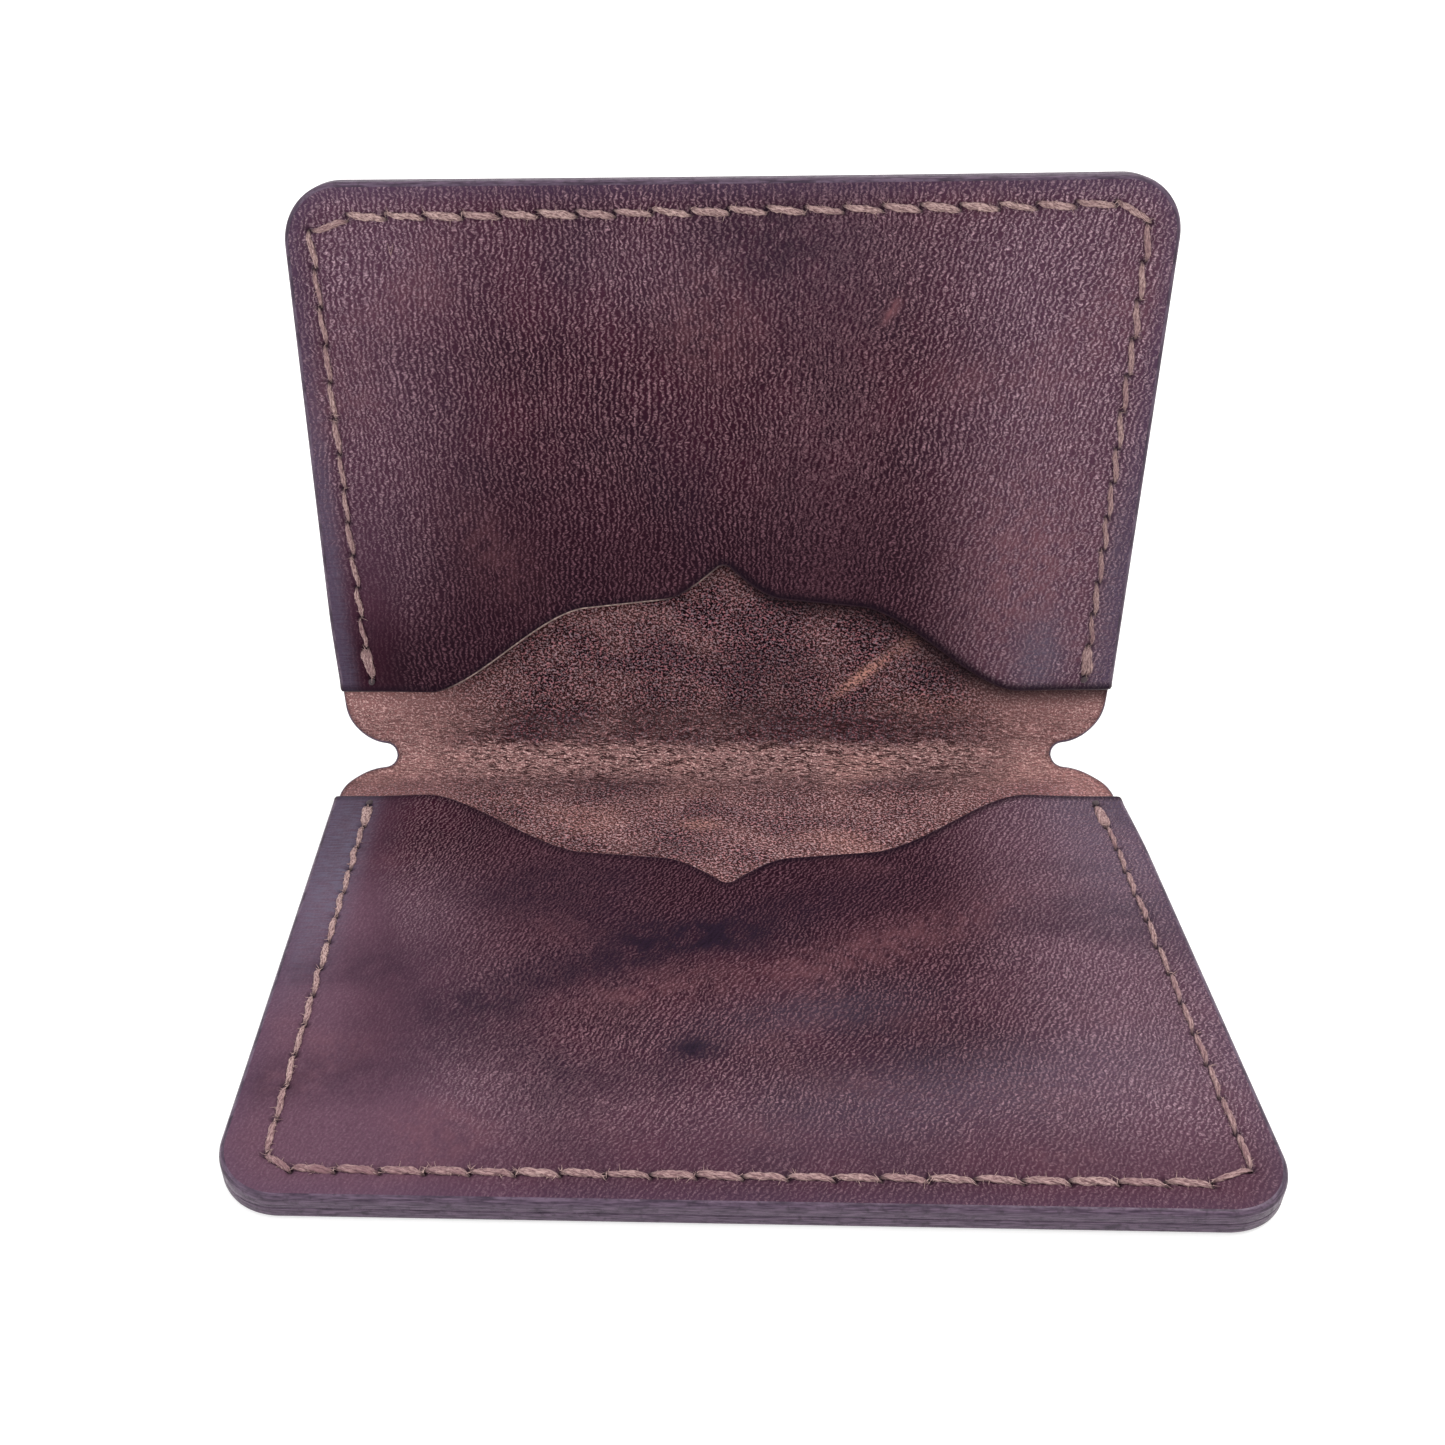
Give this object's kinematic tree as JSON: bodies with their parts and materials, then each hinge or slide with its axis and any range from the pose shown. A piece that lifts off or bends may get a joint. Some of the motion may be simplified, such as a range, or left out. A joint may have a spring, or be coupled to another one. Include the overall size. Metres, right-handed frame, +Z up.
{
  "type": "business card case",
  "caption": "Bifold leather business card case, half open: a waisted cover folds between two leaves, each with a bracket-mouthed card pocket, saddle-stitched on its other sides.",
  "frame": {"origin": "middle of the lying leaf's flat underside", "axes": "+Z up, away from the surface that the lying leaf rests on; +X along the fold; +Y from the lying leaf's outer edge towards the fold"},
  "size_m": [0.102, 0.0841, 0.0754],
  "materials": {
    "cover_leather": "vegetable-tanned leather, waxed dark burgundy grain side out, brown napped flesh side in, burnished blue-brown edges",
    "pocket_leather": "dark burgundy waxed grain, satin, finely pebbled, with smoky patches and burnished edges",
    "linen_thread": "waxed twisted linen thread, dusty tan, matt"
  },
  "bodies": {
    "lower_leaf": {"lower_cover": "cover_leather", "lower_pocket": "pocket_leather", "lower_seam_thread": "linen_thread"},
    "fold": {"fold_strip": "cover_leather"},
    "upper_leaf": {"upper_cover": "cover_leather", "upper_pocket": "pocket_leather", "upper_seam_thread": "linen_thread"}
  },
  "joints": [
    {"name": "lower_bend", "type": "hinge", "parent": "lower_leaf", "child": "fold", "pos_m": [0, 0.0358, 0.0013], "axis": [1, 0, 0], "range_deg": [-41.75, 48.25]},
    {"name": "upper_bend", "type": "hinge", "parent": "fold", "child": "upper_leaf", "pos_m": [0, 0.03893, 0.0041], "axis": [1, 0, 0], "range_deg": [-41.75, 48.25]}
  ],
  "couplings": [
    {"joint": "upper_bend", "follows": "lower_bend", "ratio": 1}
  ]
}
